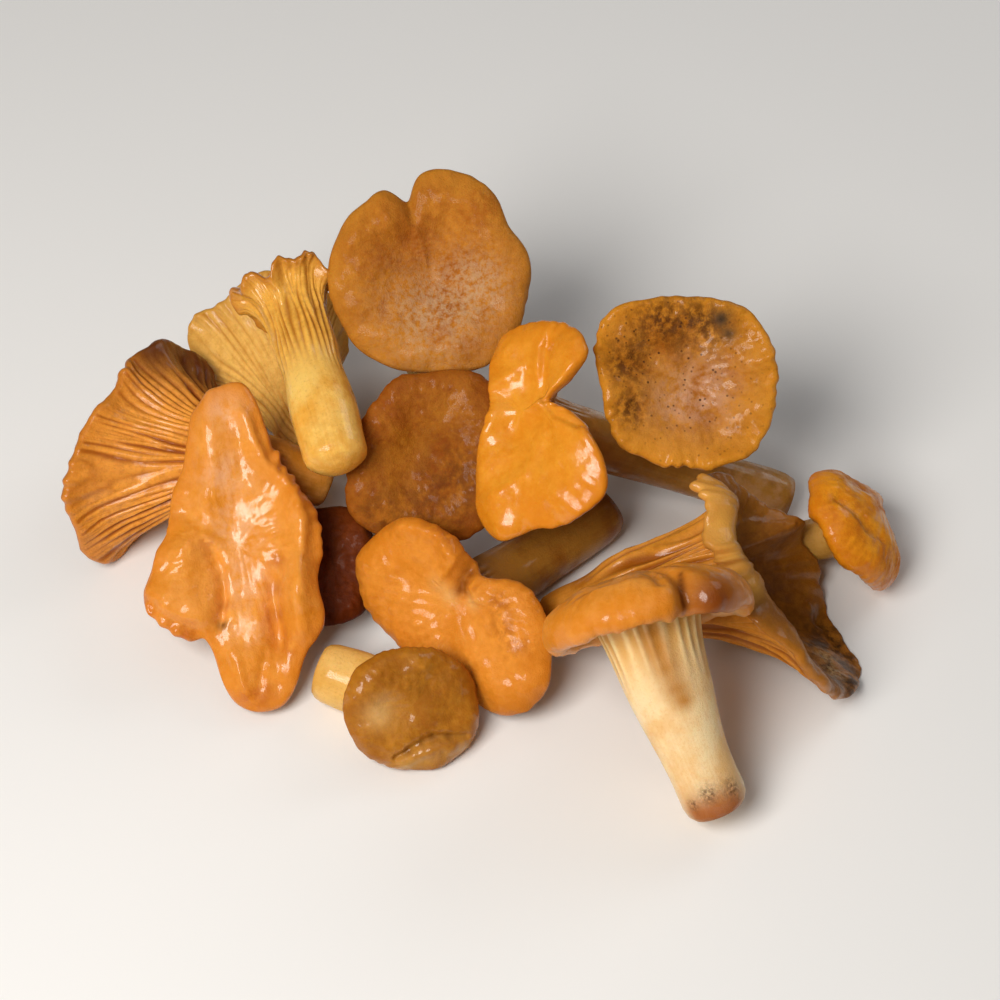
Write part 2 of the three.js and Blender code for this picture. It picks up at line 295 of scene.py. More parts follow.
def curve_at(points, t):
    """Place and direction on a cubic curve, t of the way along it."""
    s = 1 - t
    weights = (s**3, 3 * s * s * t, 3 * s * t * t, t**3)
    slopes = (-3 * s * s, 3 * s * s - 6 * s * t, 6 * s * t - 3 * t * t, 3 * t * t)
    at = sum(w * p for w, p in zip(weights, points))
    along = sum(w * p for w, p in zip(slopes, points))
    return at, along / np.hypot(*along)


def turned(turn, reach, height):
    """Points that far out from the axis, at each turn round it."""
    angle = np.radians(turn)
    return np.stack([reach * np.cos(angle), reach * np.sin(angle), height + 0 * angle], 1)


def bump(distance, cell):
    """The height of a ridge, with distance in ridges from its crest and cell the room of one, in mm."""
    return np.exp(-((np.abs(distance) * cell / RIDGE_WIDTH) ** 2))


def ridges(m, turn, cell, progress):
    """Blunt ridges in the underside, 0 between them and 1 on them. Each forks on its way out, and
    some again near the rim, so they stay evenly close."""
    lanes = m["ridges"]
    draw = np.random.default_rng(m["seed"] + 2)
    first_fork = draw.uniform(*FORKS_BETWEEN, lanes)
    second_fork = draw.uniform(*TWIGS_BETWEEN, 2 * lanes)
    side = draw.integers(0, 2, lanes)
    height_share = draw.uniform(*RIDGE_SHARES, 4 * lanes)
    sway = ripples(m["seed"] + 5, turn, 2, 9, 0.9) * progress + 0.12 * np.sin(9 * progress + turn / 9)
    place = turn / 360 * lanes + sway

    lane = np.floor(place).astype(int)
    height = 0
    for crest in (lane, lane + 1):
        height = np.maximum(height, height_share[crest * 4 % (4 * lanes)] * bump(place - crest, cell))
    start, left = first_fork[lane % lanes], side[lane % lanes]
    fork = lane + left + (0.5 - left) * smooth(progress, start, start + 0.3)
    grown_share = smooth(progress, start - 0.03, start + 0.1)
    height = np.maximum(height, bump(place - fork, cell) * grown_share)
    half = np.floor(2 * place).astype(int)
    start = second_fork[half % (2 * lanes)]
    twig = half / 2 + 0.25 * smooth(progress, start, start + 0.25)
    shallow = 0.75 * smooth(progress, start, start + 0.12)
    return np.maximum(height, shallow * bump(place - twig, cell))


def rotation_to(direction):
    """The shortest turn that takes +Z to that direction, as a matrix."""
    return np.array(Vector((0, 0, 1)).rotation_difference(Vector(direction)).to_matrix())


def stem_ring(m, t, turn, share, relief, beyond=0):
    """A ring of points round the stem, with t from 0 at the foot to 1 at the neck."""
    neck = np.array([0, 0, -m["dish"] - m["flesh"]], float)
    foot = np.array(m["foot"], float)
    knee = np.array([0, 0, (neck[2] + foot[2]) / 2])
    centre = (1 - t) ** 2 * foot + 2 * t * (1 - t) * knee + t * t * neck
    centre = centre + beyond * (foot - knee) / np.linalg.norm(foot - knee)
    lean = rotation_to(2 * (1 - t) * (knee - foot) + 2 * t * (neck - knee))
    low, middle, high = m["stem"]
    radius = (1 - t) ** 2 * low + 2 * t * (1 - t) * middle + t * t * high
    swelling = ripples(m["seed"] + 3, turn, 2, 5, SWELLING) + SWELLING * math.sin(9 * t + m["seed"])
    return turned(turn, (radius + swelling * min(1, 4 * (1 - t))) * share + relief, 0) @ lean.T + centre


def folded(folds, x, y):
    """The rise of the folds and creases at each point. Each has a height, a width on the left of its
    line and one on the right, and the line itself."""
    rise = np.zeros(len(x))
    for height, left, right, line in folds:
        nearest = np.full(len(x), np.inf)
        side = np.zeros(len(x))
        for (x0, y0), (x1, y1) in zip(line, line[1:]):
            dx, dy = x1 - x0, y1 - y0
            along = np.clip(((x - x0) * dx + (y - y0) * dy) / (dx * dx + dy * dy), 0, 1)
            far = np.hypot(x - x0 - along * dx, y - y0 - along * dy)
            closer = far < nearest
            side[closer] = (dx * (y - y0) - dy * (x - x0))[closer]
            nearest = np.minimum(nearest, far)
        rise += height * np.exp(-((nearest / np.where(side > 0, left, right)) ** 2))
    return rise


def add_waves(sink, x, y, draw, waves, depth):
    """Adds crossing waves to sink, each with a heading and pitch of its own."""
    count, lowest, highest = waves
    for _ in range(count):
        heading, pitch = draw.uniform(0, 2 * np.pi), draw.uniform(lowest, highest)
        place = (x * math.cos(heading) + y * math.sin(heading)) * pitch
        sink += depth * np.sin(place + draw.uniform(0, 6))


def pressed(m, points, share):
    """The cap's points, moved by its dents, bumps and folds and by the unevenness of its flesh."""
    x, y = points[:, 0], points[:, 1]
    sink = np.zeros(len(points))
    for dent in m.get("dents", []):
        (across, along), (wide, long) = dent["at"], dent["size"]
        sink += dent["depth"] * np.exp(-(((x - across) / wide) ** 2) - ((y - along) / long) ** 2)
    sink -= folded(m.get("folds", []), x, y)
    draw = np.random.default_rng(m["seed"] + 4)
    add_waves(sink, x, y, draw, LUMPS, m.get("lumps", 0.16))
    add_waves(sink, x, y, draw, PIMPLES, m.get("pimples", 0.02))
    points[:, 2] -= share * sink
    return points


def ring(points, top=0, out=0, stem=1, crest=0.5):
    """A ring of points with what its skin is like: how far over the rim's edge, how far out under
    the cap, how far up the stem, and how high on a ridge it is, each from 0 to 1."""
    skin = {"top": top, "out": out, "stem": stem, "crest": crest}
    return points, {key: np.broadcast_to(value, len(points)) for key, value in skin.items()}


def stem_rings(m, turn):
    """From the cut foot up to the neck, where the ridges begin."""
    bulge = m.get("foot_bulge", FOOT_BULGE)
    for share in FOOT_SHARES:
        yield ring(stem_ring(m, 0, turn, share, 0, bulge * (1 - (share / CUT_EDGE) ** 2)), stem=0)
    for step in range(1, STEM_RINGS + 1):
        t, share = (FOOT_BEVEL_AT, FOOT_BEVEL) if step == 1 else (step / STEM_RINGS, 1)
        fade = smooth(t, m["bare"], 1)
        radius = m["stem"][2] if t > 0.7 else m["stem"][1]
        cell = 2 * math.pi * radius / m["ridges"]
        progress = PROGRESS_AT_NECK * max(0, (t - m["bare"]) / (1 - m["bare"]))
        crest = ridges(m, turn, cell, progress)
        relief = RIDGE_DEPTH * m.get("ridge_depth", 1) * fade * (crest - 0.5)
        yield ring(stem_ring(m, t, turn, share, relief), stem=t, crest=0.5 + (crest - 0.5) * fade)


def under_rings(m, turn, cap):
    """From the neck out under the cap, over its ridges."""
    for step in range(1, UNDER_RINGS + 1):
        u = step / UNDER_RINGS
        at, along = curve_at(cap["below"], u)
        at = at + uneven(cap, u)
        cell = 2 * math.pi * np.maximum(at[0], 1) / m["ridges"]
        crest = ridges(m, turn, cell, PROGRESS_AT_NECK + (1 - PROGRESS_AT_NECK) * u)
        relief = RIDGE_DEPTH * m.get("ridge_depth", 1) * (1 - u**4) * (crest - 0.5)
        points = turned(turn, at[0] + along[1] * relief, at[1] - along[0] * relief)
        yield ring(pressed(m, points, float(smooth(u, 0.1, 0.6))), out=u, crest=crest)


def edge_rings(m, turn, cap):
    """Round the thick edge, from below to above."""
    for step in range(1, EDGE_RINGS + 1):
        share = step / (EDGE_RINGS + 1)
        angle = math.pi * (share - 0.5)
        offset = (cap["out"] * math.cos(angle) + cap["up"] * math.sin(angle)) * m["edge"] / 2
        at = cap["rim"] + offset + uneven(cap, 1)
        yield ring(pressed(m, turned(turn, at[0], at[1]), 1), top=share, out=1)


def top_rings(m, turn, cap):
    """From the edge in over the top, as far as the last ring before the middle."""
    for step in range(TOP_RINGS):
        w = (1 - step / TOP_RINGS) ** TOP_CROWDING
        at, _ = curve_at(cap["above"], w)
        at = at + uneven(cap, w)
        yield ring(pressed(m, turned(turn, at[0], at[1]), 1), top=1, out=w)


def marked(local, spots):
    """1 in the middle of each spot and 0 away from it. A spot is its place and its size, in mm."""
    clear = np.ones(len(local))
    for *place, size in spots:
        far = np.linalg.norm(local - np.array(place), axis=1) / size
        clear *= 1 - np.exp(-(far**2))
    return 1 - clear


def skin_fields(m, turn, rings, local):
    """What the finish reads at each point: the rings' skin, the way round, the place and the marks."""
    fields = {}
    for key, foot, top in (("top", 0, 1), ("out", 0, 0), ("stem", 0, 1), ("crest", 0.5, 0.5)):
        fields[key] = np.concatenate([[foot], *(skin[key] for _, skin in rings), [top]])
    angle = np.radians(np.concatenate([[0], np.tile(turn, len(rings)), [0]]))
    fields["sweep"] = np.stack([np.cos(angle), np.sin(angle), fields["stem"] + fields["out"]], 1)
    fields["local"] = local
    for key, spots in m.get("marks", {}).items():
        fields[key] = marked(local, spots)
    return fields


def skin_faces(sides, rows):
    """Quads between the rings, and a fan of triangles in the cut foot and in the cap's middle."""
    side = np.arange(sides)
    after = (side + 1) % sides
    faces = [(0, 1 + b, 1 + a) for a, b in zip(side, after)]
    for row in range(rows - 1):
        low = 1 + row * sides
        high = low + sides
        faces += np.stack([low + side, low + after, high + after, high + side], 1).tolist()
    last = 1 + (rows - 1) * sides
    return faces + [(last + a, last + b, last + sides) for a, b in zip(side, after)]


def laid(m, local, top):
    """The points where they lie in the heap. Flesh that meets the table is pressed flat on it."""
    heading, tilt = math.radians(m["heading"]), math.radians(m["tilt"])
    swing = np.array(Matrix.Rotation(heading, 3, "Z") @ Matrix.Rotation(tilt, 3, "Y"))
    points = local @ swing.T + np.array(m["at"]) + np.array(HEAP_SHIFT)
    points[:, 2] = np.maximum(points[:, 2], THINNEST * top)
    return points


def mushroom(name, m, finish):
    """Makes the fine mushroom in the place of its plain solid, from its measures in m. All are taken
    from the point at, on the axis of the cap, which leans by tilt towards heading. Round the cap,
    from its lowest side and anticlockwise seen from above it, rim is how far out the edge is, lift
    how high, roll its slope and curl how long the faces hold that slope. dish is how far the cap's
    middle sinks, flesh the thickness there and edge the rim's. foot is where the stem is cut, stem
    its radius from there to the neck, flare the rise of the neck, and bare the share of the stem
    below the ridges. The seed draws what varies, to the depths ragged, crinkle, lumps and pimples.
    Folds and creases lie along lines, dents at points, and marks are where the stains go."""
    turn = np.arange(m["sides"]) * 360 / m["sides"]
    cap = cap_section(m, turn)
    rings = [*stem_rings(m, turn), *under_rings(m, turn, cap), *edge_rings(m, turn, cap)]
    rings += top_rings(m, turn, cap)
    foot = stem_ring(m, 0, turn[:1], 0, 0, m.get("foot_bulge", FOOT_BULGE))
    middle = pressed(m, np.array([[0, 0, -m["dish"]]], float), 1)
    local = np.concatenate([foot, *(points for points, _ in rings), middle])
    fields = skin_fields(m, turn, rings, local)
    mesh = bpy.data.meshes.new(name + "_skin")
    points = laid(m, local, fields["top"]) * MM
    mesh.from_pydata(points.tolist(), [], skin_faces(len(turn), len(rings)))
    mesh.polygons.foreach_set("use_smooth", [True] * len(mesh.polygons))
    for key, values in fields.items():
        kind, slot = ("FLOAT", "value") if values.ndim == 1 else ("FLOAT_VECTOR", "vector")
        mesh.attributes.new(key, kind, "POINT").data.foreach_set(slot, values.ravel())
    piece = bpy.data.objects.new(name + "_skin", mesh)
    bpy.context.scene.collection.objects.link(piece)
    mesh.materials.append(finish.material)
    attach(piece, "root")
    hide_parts(name)


CLOUDS, MOTTLE, GRAIN, PORES = 0.09, 0.55, 1.6, 2.4  # noise to the mm, from broad to fine
DAMP_PATCHES = 0.16
STREAKS = (9, 9, 1.5)  # many round the stem and few along it
DRY_ROUGHNESS, GLOSS = 0.58, 0.33
RELIEF, RELIEF_STRENGTH = 0.0009, 0.5  # the first in metres
FLESH_LIGHT = {  # how far light sinks into the flesh, in metres, and how the wet skin glints
    "Coat Roughness": 0.12,
    "Subsurface Weight": 0.15,
    "Subsurface Radius": (1.0, 0.4, 0.08),
    "Subsurface Scale": 0.0025,
    "Specular IOR Level": 0.12,
}


def grown_colour(board, local, mottle, streaks, cap, gills, stem):
    """The colour before any stain, of the cap's top, the ridges under it and the stem."""
    top, out = board.field("top"), board.field("out")
    along, crest = board.field("stem"), board.field("crest")
    cloud = board.noise(local, CLOUDS, detail=5, roughness=0.6)
    over = board.mix((0.62 * cloud + 0.38 * mottle).between(0.36, 0.64), cap[0], cap[1])
    over = board.mix((out**4) * 0.6, over, cap[2])
    # The valleys between the ridges take the darker colour: painted shade in the valleys.
    under = board.mix(crest.between(0.1, 0.8), gills[0], gills[1])
    under = board.mix(mottle.between(0.4, 0.7) * 0.35, under, gills[0])
    under = board.mix((out**6) * 0.5, under, cap[2])
    trunk = board.mix((0.15 * streaks + 0.85 * cloud).between(0.36, 0.62), stem[0], stem[1])
    below = board.mix(along.between(0.5, 1.0), trunk, under)
    colour = board.mix(top.between(0.2, 0.75), below, over)
    fine = board.noise(local, GRAIN, detail=5, roughness=0.7).between(0.5, 0.75)
    return board.mix(fine * 0.3, colour, cap[0])


def stained(board, local, colour, stains, specks):
    """The colour with its stains on it, each whole or broken up, and its specks of soil."""
    for mark, tint, strength, breakup in stains:
        share = board.field(mark)
        if breakup:
            share = share * board.noise(local, breakup, detail=5, roughness=0.65).between(0.35, 0.62)
        colour = board.mix(share * strength, colour, tint)
    if specks:
        mark, tint = specks
        cells = {"Vector": local, "Scale": 0.8, "Randomness": 1}
        near = 1 - board.node("ShaderNodeTexVoronoi", {"feature": "F1"}, cells).between(0.12, 0.3)
        patchy = board.noise(local, 0.45).between(0.45, 0.58)
        colour = board.mix(near * patchy * board.field(mark), colour, tint)
    return colour


def flesh(name, cap, gills, stem, wet=0.5, grain=0.35, stains=(), specks=None):
    """Mushroom skin. cap is a dark and a light colour and the margin's, gills is the valleys' colour
    and the crests', stem is two. Each stain is a mark's name, its colour, its strength and how
    finely it breaks up, from 0 for not at all. specks are a mark's name and their colour."""
    board = Board(name)
    local = board.field("local", "Vector")
    mottle = board.noise(local, MOTTLE, detail=4, roughness=0.65)
    sweep = {0: board.field("sweep", "Vector"), 1: STREAKS}
    stretched = board.node("ShaderNodeVectorMath", {"operation": "MULTIPLY"}, sweep)
    streaks = board.noise(stretched, 1.2, detail=4)
    colour = grown_colour(board, local, mottle, streaks, cap, gills, stem)
    board.set(base_color=stained(board, local, colour, stains, specks))
    damp = board.noise(local, DAMP_PATCHES, detail=4, roughness=0.6).between(0.36, 0.6)
    board.set(roughness=DRY_ROUGHNESS - GLOSS * wet * damp, coat_weight=damp * wet * 0.8)
    for socket, value in FLESH_LIGHT.items():
        board.skin.inputs[socket].default_value = value
    pores = board.noise(local, PORES, detail=5, roughness=0.65)
    relief = grain * pores + 0.5 * mottle + 0.1 * streaks * (1 - board.field("top"))
    sockets = {"Height": relief, "Distance": RELIEF, "Strength": RELIEF_STRENGTH}
    board.set(normal=board.node("ShaderNodeBump", {}, sockets))
    return board


high_round = dict(
    at=[-12.5, 40.5, 55],
    heading=-90,
    tilt=40,
    seed=11,
    sides=288,
    rim=[20.5, 22, 22.5, 21.5, 20.5, 20.5, 18.5, 20.5, 21.5, 21, 19.5, 19.5, 20, 20.5, 21, 21, 21.5, 21],
    lift=[0.5, 1, 0, 1, 2, 1, 0, 1, 2, 1, 0, 0],
    roll=[-30],
    notches=[{"at": 198, "width": 8, "depth": 5}],
    dish=1,
    flesh=6,
    edge=3.4,
    foot=[21.5, 0, -55],
    stem=[7, 6, 7.5],
    flare=0.3,
    bare=0.75,
    ridges=20,
    lumps=0.12,
    dents=[{"at": [2, 2], "size": [9, 8], "depth": 1.2}, {"at": [-13, -9], "size": [4, 4], "depth": -1.2}],
    folds=[(-1.0, 1.2, 1.2, [(-20, -6), (-11, -3.5)]), (0.7, 2.5, 1.2, [(-18, -13), (-10, -9)])],
    marks={
        "bloom": [(9, 1, 1, 11), (3, 10, 1, 7)],
        "rust": [(-4, -3, 0, 5), (14, 2, 2, 3), (-15, 12, 2, 5)],
    },
)
high_round_skin = flesh(
    "high_round_flesh",
    cap=("#a0560c", "#c88026", "#cc8628"),
    gills=("#8a4a12", "#c9842c"),
    stem=("#b98438", "#dcb060"),
    wet=0.1,
    grain=0.9,
    stains=[("bloom", "#c8a27a", 0.8, 0.9), ("rust", "#a0500a", 0.6, 0.5)],
)
mushroom("mushroom_high_round", high_round, high_round_skin)

# The stem-first mushroom is a narrow trumpet of thin flesh, which lies on the others with its pale
# stem towards the viewer. Its rim is crinkled and damp, and its ridges run a little way down the stem.
stem_first = dict(
    at=[-42.5, 37, 47],
    heading=105,
    tilt=84,
    seed=23,
    sides=448,
    rim=[10, 10.5, 12, 12, 11, 10, 10.5, 11, 10, 9.5, 10, 10],
    lift=[5, 4, 6, 7, 5, 4, 6, 5, 4, 6, 7, 5],
    roll=[15],
    frill={"waves": 9, "depth": 1.1},
    dish=2.5,
    flesh=7,
    edge=1.8,
    foot=[3, 0, -41],
    foot_bulge=2.2,
    stem=[7.3, 7, 6.5],
    flare=0.5,
    bare=0.6,
    ridges=26,
    ragged=0.5,
    crinkle=0.22,
    crinkled_from=7,
    marks={"ochre": [(0, 0, -41, 9), (-6, -5, -26, 7), (-7, 5, -35, 5)]},
)
stem_first_skin = flesh(
    "stem_first_flesh",
    cap=("#8f4f0c", "#b8761c", "#b4660e"),
    gills=("#a8600c", "#ecb048"),
    stem=("#e8a63e", "#f8cc6c"),
    wet=1.0,
    grain=0.1,
    stains=[("ochre", "#c07c1c", 0.4, 0.3)],
)
mushroom("mushroom_stem_first", stem_first, stem_first_skin)

# The pale fan is a thin yellow cap, grown out to one side and closely ridged underneath. It lies
# behind the stem-first mushroom with its gilled side to the viewer, its short stem in among the others.
pale_fan = dict(
    at=[-44.2, 37.5, 16.5],
    heading=108,
    tilt=98,
    seed=31,
    sides=448,
    rim=[14, 14.5, 15, 17, 21.5, 20, 22, 21, 18, 15, 14, 14],
    lift=[12, 12, 11, 11, 19, 18, 19, 16, 14, 12, 12, 12],
    roll=[40],
    dish=2.5,
    flesh=8.5,
    edge=1.8,
    foot=[8, -14, -15],
    stem=[6, 6, 7],
    flare=0.4,
    bare=0.5,
    ridges=30,
    ragged=0.4,
    crinkle=0.3,
)
pale_fan_skin = flesh(
    "pale_fan_flesh",
    cap=("#a8701f", "#cf9a40", "#c08428"),
    gills=("#bc781c", "#f0bc60"),
    stem=("#c08a30", "#dcab4c"),
    wet=0.5,
)
mushroom("mushroom_pale_fan", pale_fan, pale_fan_skin)

# The left trumpet is a full funnel of thin flesh, ridged from its rim to its stem. It lies on the
# table on its rim, and its far side is painted dark, as the shade it lies in.
left_trumpet = dict(
    at=[-65, 16.8, 20.6],
    heading=154,
    tilt=109,
    seed=41,
    sides=448,
    rim=[10, 16, 26, 26.5, 24.5, 20, 18.5, 22, 24, 22, 15, 11],
    lift=[13, 16, 17, 17, 16.5, 15, 14, 14, 12, 9, 9, 11],
    roll=[30],
    dish=4,
    flesh=7,
    edge=2.4,
    foot=[9, -5, -29],
    stem=[6, 6.2, 8],
    flare=0.45,
    bare=0.5,
    ridges=28,
    ragged=0.7,
    crinkle=0.35,
    crinkled_from=6,
    # The dark marks on the far side are painted shade.
    marks={"dark": [(-12, -20, 10, 9), (-5, -20, 6, 8), (-19, -13, 12, 6)]},
)
left_trumpet_skin = flesh(
    "left_trumpet_flesh",
    cap=("#6a300a", "#99540f", "#cc7a1e"),
    gills=("#96480a", "#ee9e3c"),
    stem=("#b9751f", "#d9984a"),
    wet=0.65,
    # Painted shade on the far side.
    stains=[("dark", "#4a1c05", 0.9, 0)],
)
mushroom("mushroom_left_trumpet", left_trumpet, left_trumpet_skin)

# The broad flap is an old orange cap, grown out into one wide sheet of flesh. It has sunk into folds
# and creases, wet and reddish, and stands at the front left on its short stem. Its creases and the
# hollow under its curled lobe are painted darker, as shade.
broad_flap = dict(
    at=[-54, -12, 25],
    heading=-90,
    tilt=35,
    seed=53,
    sides=320,
    rim=[
        33.5, 36, 28, 25, 19.5, 17.5, 17, 17, 17, 17, 18, 23.5, 34, 31, 22, 18, 16, 15, 15.5, 17.5, 22.5,
        23.5, 23, 22,
    ],
    lift=[-2, 0, 2, 0, 0, -1, 0, -2, -3, -1, 0, 0],
    roll=[-20],
    dish=1,
    flesh=5.5,
    edge=2.6,
    foot=[6, 4, -25],
    stem=[6, 5.5, 6.5],
    flare=0.3,
    bare=0.6,
    ridges=24,
    ragged=0.45,
    crinkle=[0.15, 0.15, 0.2, 0.25, 0.3, 0.35, 0.3, 0.2, 0.15, 0.15, 0.3, 0.3],
    crinkled_from=12,
    lumps=0.1,
    dents=[
        {"at": [10, -8], "size": [9, 4], "depth": 3},
        {"at": [-6, -6.5], "size": [20, 3], "depth": -1.5},
        {"at": [15, -13.5], "size": [6, 6], "depth": -2.5},
        {"at": [-5, 13], "size": [10, 3], "depth": -2.2},
        {"at": [22, 8.5], "size": [10, 2.5], "depth": 1.6},
        {"at": [10.7, 14], "size": [5, 4], "depth": -2.5},
    ],
    folds=[
        (1.2, 5, 2.5, [(-31, -7), (-18, -6)]),
        (2.4, 4, 3, [(2, -11), (9, -9.5), (15, -8.5)]),
        (-1.8, 0.9, 1.8, [(1, -6), (6, -3.6), (12, -2.8), (17, -3.4)]),
        (1.5, 0.9, 2.2, [(-28, 1.5), (-18, 5.5), (-12, 12), (-5, 15), (2, 14.5)]),
        (2.4, 2.4, 2, [(5, 14), (12, 13), (19, 14)]),
        (-2.2, 1.2, 2.6, [(4, 9.5), (10, 8.2), (16, 8.5), (21, 9.7)]),
        (-1.4, 0.8, 1.8, [(10, -23), (16, -16), (19, -9)]),
        (-0.8, 0.7, 0.7, [(13, -18), (20, -19)]),
        (0.9, 1.4, 1.4, [(24, -1), (33, 2)]),
        (-0.8, 1, 1, [(24, 6), (30, 5)]),
    ],
    marks={
        "pale": [(-28, -3, 1, 4), (-15, -3, 1, 5), (-4, 0, 1, 6), (8, 2, 1, 5), (18, 2, 1, 4)],
        # Reddish patches of the skin; the one in the hollow under the curled lobe is painted shade.
        "red": [(22, 10, 2, 3), (33, 4, 0, 4), (16, -22, 0, 5), (20, -12, 1, 3)],
        # The crease marks darken the grooves: painted shade.
        "creases": [(4, 9, 0, 1.8), (10, 8, 0, 1.8), (16, 8.3, 0, 1.8), (8, -3.2, 0, 1.1), (14, -3, 0, 1.1)],
        "soil": [(18, -3.2, 1, 1.1)],
    },
)
broad_flap_skin = flesh(
    "broad_flap_flesh",
    cap=("#dc8822", "#ee9f42", "#d87c1c"),
    gills=("#a9620f", "#dda040"),
    stem=("#c58a35", "#dcab58"),
    wet=0.85,
    stains=[
        ("pale", "#f2bc90", 0.65, 0.3),
        # Partly the skin's own reddish colour, partly painted shade in the hollow.
        ("red", "#b0500a", 0.7, 0.25),
        # Painted shade in the creases.
        ("creases", "#a84c0a", 0.6, 0),
        ("soil", "#2c1606", 0.9, 0),
    ],
)
mushroom("mushroom_broad_flap", broad_flap, broad_flap_skin)

# The brown cap, in the middle of the heap, is squarish and firm, with the dullest and driest skin of
# them all. Its lower part is painted darker, as shade where the caps around it cover it. It stands
# on a curved stem that the others hide.
brown_cap = dict(
    at=[-14.5, 5.9, 35],
    heading=-90,
    tilt=42,
    seed=61,
    sides=288,
    rim=[18.5, 20, 20.5, 17, 16, 17.5, 19.5, 18, 15, 15, 13, 13, 14, 16.5, 19.5, 19],
    lift=[-2, -1, 0, 0, -1, -2, -1, 0, 0, -1, -1, -2],
    roll=[-35],
    dish=1,
    flesh=5,
    edge=3,
    foot=[12, 0, -36.8],
    stem=[6, 5.5, 6.5],
    flare=0.3,
    bare=0.75,
    ridges=20,
    ragged=0.45,
    crinkle=0.2,
    lumps=0.12,
    dents=[{"at": [4, 2], "size": [7, 9], "depth": 1.4}],
    # Painted shade on the lower part, where the neighbouring caps cover it.
    marks={"painted_shade": [(6, 8, 0, 9), (16, 2, 0, 8), (14, -9, 0, 5)]},
)
brown_cap_skin = flesh(
    "brown_cap_flesh",
    cap=("#8a460a", "#b26e1a", "#98500e"),
    gills=("#8a4a12", "#c98a35"),
    stem=("#9a5c1c", "#ba8038"),
    wet=0.15,
    grain=0.7,
    # Painted shade on the lower part.
    stains=[("painted_shade", "#643006", 0.75, 0.3)],
)
mushroom("mushroom_brown_cap", brown_cap, brown_cap_skin)

# The saddle cap is bright and wet, drawn in at the waist and folded across it. Its long stem bends
# away to the right and rests its foot on the table.
saddle_cap = dict(
    at=[7.2, 6.6, 47],
    heading=-141,
    tilt=40,
    seed=71,
    sides=384,
    rim=[
        16, 23, 27, 24.5, 25.5, 26.5, 26, 20.5, 13.5, 8.5, 6.5, 18, 20, 20, 19.5, 19, 18, 14.5, 10, 7.5,
        6.5, 7, 8, 11,
    ],
    lift=[-2, -3, -3, -2, 0, 0, -1, -3, -3, -2, 0, 0],
    roll=[-30],
    dish=1.5,
    flesh=5,
    edge=2.6,
    foot=[-14.5, 30, -68],
    stem=[5.5, 6, 6],
    flare=0.3,
    bare=0.75,
    ridges=22,
    crinkle=0.15,
    lumps=0.12,
    pimples=0.01,
    folds=[
        (-1.3, 2.5, 0.8, [(-14, -5), (-7.3, 0.4), (-5.3, 3.7), (-4.9, 8.2), (-6.5, 14)]),
        (0.9, 1.2, 2.5, [(-5, -7), (6, -12), (16, -10)]),
        (0.6, 1.2, 2, [(0, 8), (9, 11), (18, 8)]),
    ],
    marks={"end": [(-12, 26, -66, 14)]},
)
saddle_cap_skin = flesh(
    "saddle_cap_flesh",
    cap=("#dc8618", "#ea9c2c", "#d67c14"),
    gills=("#a5601a", "#d99a44"),
    stem=("#96621f", "#b8843a"),
    wet=1.0,
    grain=0.15,
    stains=[("end", "#cfa27c", 0.6, 0.3)],
)
mushroom("mushroom_saddle_cap", saddle_cap, saddle_cap_skin)

# The speckled dish, at the upper right, is a tan cap of firm flesh with a raised margin, dotted with
# dark specks of forest soil. It stands on a long curved stem.
speckled_dish = dict(
    at=[43.4, 14.5, 48],
    heading=-90,
    tilt=40,
    seed=83,
    sides=288,
    rim=[18, 19, 20, 19, 18.5, 19, 19, 18, 17, 18, 21, 20.5, 17.5, 18, 19, 18],
    lift=[3, 3, 3.5, 3, 3, 2.5, 3, 4, 3, 3, 3, 3],
    roll=[10],
    dish=1,
    flesh=5,
    edge=2.4,
    foot=[9, 0, -54],
    stem=[6, 5.5, 7],
    flare=0.35,
    bare=0.7,
    ridges=20,
    ragged=0.35,
    crinkle=0.25,
    marks={
        "pale": [(2, 4, 0, 7), (4, -2, 0, 5)],
        "char": [(-13, -6, 3, 6), (-12, 3, 3, 6), (-4, -13, 3, 5), (6, -12, 3, 4)],
        "soil": [(-13.5, 7.5, 3, 2.2), (-10, 9, 3, 1.6)],
        "dotted": [(-8, -8, 3, 13), (4, 2, 1, 14)],
    },
)
speckled_dish_skin = flesh(
    "speckled_dish_flesh",
    cap=("#a05c12", "#ca862e", "#dc901c"),
    gills=("#94561a", "#cf953f"),
    stem=("#bb8a48", "#dcb577"),
    wet=0.35,
    grain=0.6,
    stains=[("pale", "#d0a080", 0.7, 0.4), ("char", "#4c2408", 0.9, 0.6), ("soil", "#3a3024", 0.95, 0)],
    specks=("dotted", "#40200a"),
)
mushroom("mushroom_speckled_dish", speckled_dish, speckled_dish_skin)

# The small one at the right is a young, firm cap with a wet skin, its margin still turned in. It leans
# outwards on a short stem, and two folds run over its top.
small_right = dict(
    at=[87.6, 3.4, 17.2],
    heading=14,
    tilt=56,
    seed=97,
    sides=320,
    rim=[14, 14.4, 14, 13, 12.8, 13.2, 13.7, 14.2, 14.2, 13.6, 13.4, 14],
    lift=[-9, -9, -8, -8, -8, -8, -9, -9, -9, -8, -8, -9],
    roll=[-80],
    dish=0,
    flesh=5,
    edge=4,
    foot=[-1.7, 7, -24.5],
    stem=[5, 4.5, 5],
    flare=0.3,
    bare=0.7,
    ridges=20,
    folds=[
        (-1.2, 1.6, 1.2, [(-12.5, -1), (-9, -5), (-5.9, -7.5), (-2, -8)]),
        (0.7, 2, 2, [(-4, 2), (4, 6)]),
    ],
)
small_right_skin = flesh(
    "small_right_flesh",
    cap=("#c86c08", "#f09e1c", "#d47c10"),
    gills=("#a0601c", "#d09a4a"),
    stem=("#a8741f", "#c9984a"),
    wet=0.8,
)
mushroom("mushroom_small_right", small_right, small_right_skin)

